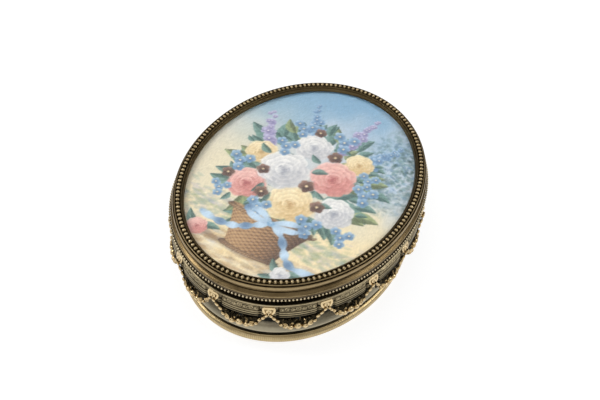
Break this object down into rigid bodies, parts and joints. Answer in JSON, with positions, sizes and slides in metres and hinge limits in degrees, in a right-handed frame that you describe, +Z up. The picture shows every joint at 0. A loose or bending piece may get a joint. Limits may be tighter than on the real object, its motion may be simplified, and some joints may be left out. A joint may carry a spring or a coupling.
{
  "type": "oval keepsake box",
  "caption": "Oval gilt silver keepsake box with a hinged lid that frames a painted panel under glass, a beaded border, brackets and hanging garlands.",
  "frame": {"origin": "middle of the flat underside, on the surface that the box stands on", "axes": "+Z up, +Y along the long axis towards the hinge, +X to the right seen from the front"},
  "size_m": [0.08, 0.1003, 0.0315],
  "materials": {
    "antique_gilt": "worn gilding over silver, satin, dark in the hollows",
    "bright_gilt": "bright cast gilding, polished on the high points",
    "pale_silver": "chased silver, greyed",
    "dark_silver": "oxidised silver, near black in the hollow and pale on the foot",
    "clear_glass": "clear polished glass",
    "painted_panel": "fine brush painting on a thin ivory-coloured sheet",
    "grey_card": "plain card",
    "rose_velvet": "short-pile velvet",
    "cream_silk": "ribbed silk"
  },
  "bodies": {
    "body": {"bottom_plate": "antique_gilt", "base_moulding": "antique_gilt", "body_wall": "dark_silver", "frieze_band": "pale_silver", "cornice_ring": "pale_silver", "neck_ring": "dark_silver", "inner_shell": "antique_gilt", "wall_lining": "rose_velvet", "floor_pad": "rose_velvet", "body_hinge_leaf": "antique_gilt", "hinge_pin": "antique_gilt", "bracket_01": "bright_gilt", "bracket_02": "bright_gilt", "bracket_03": "bright_gilt", "bracket_04": "bright_gilt", "bracket_05": "bright_gilt", "bracket_06": "bright_gilt", "bracket_07": "bright_gilt", "bracket_08": "bright_gilt", "bracket_09": "bright_gilt", "bracket_10": "bright_gilt", "bracket_11": "bright_gilt", "bracket_12": "bright_gilt", "bracket_13": "bright_gilt", "bracket_14": "bright_gilt", "bracket_15": "bright_gilt", "bracket_16": "bright_gilt", "garland_01": "bright_gilt", "garland_02": "bright_gilt", "garland_03": "bright_gilt", "garland_04": "bright_gilt", "garland_05": "bright_gilt", "garland_06": "bright_gilt", "garland_07": "bright_gilt", "garland_08": "bright_gilt", "garland_09": "bright_gilt", "garland_10": "bright_gilt", "garland_11": "bright_gilt", "garland_12": "bright_gilt", "garland_13": "bright_gilt", "garland_14": "bright_gilt", "garland_15": "bright_gilt", "garland_16": "bright_gilt"},
    "lid": {"lid_rim": "antique_gilt", "bead_border": "antique_gilt", "pearl_edge": "antique_gilt", "glass_bezel": "antique_gilt", "glass_cover": "clear_glass", "picture_panel": "painted_panel", "backing_card": "grey_card", "lid_back_plate": "antique_gilt", "lid_lining": "cream_silk", "lid_hinge_leaf": "antique_gilt"}
  },
  "joints": [
    {"name": "lid_hinge", "type": "hinge", "parent": "body", "child": "lid", "pos_m": [0, 0.0494, 0.02403], "axis": [-1, 0, 0], "range_deg": [0, 100]}
  ]
}
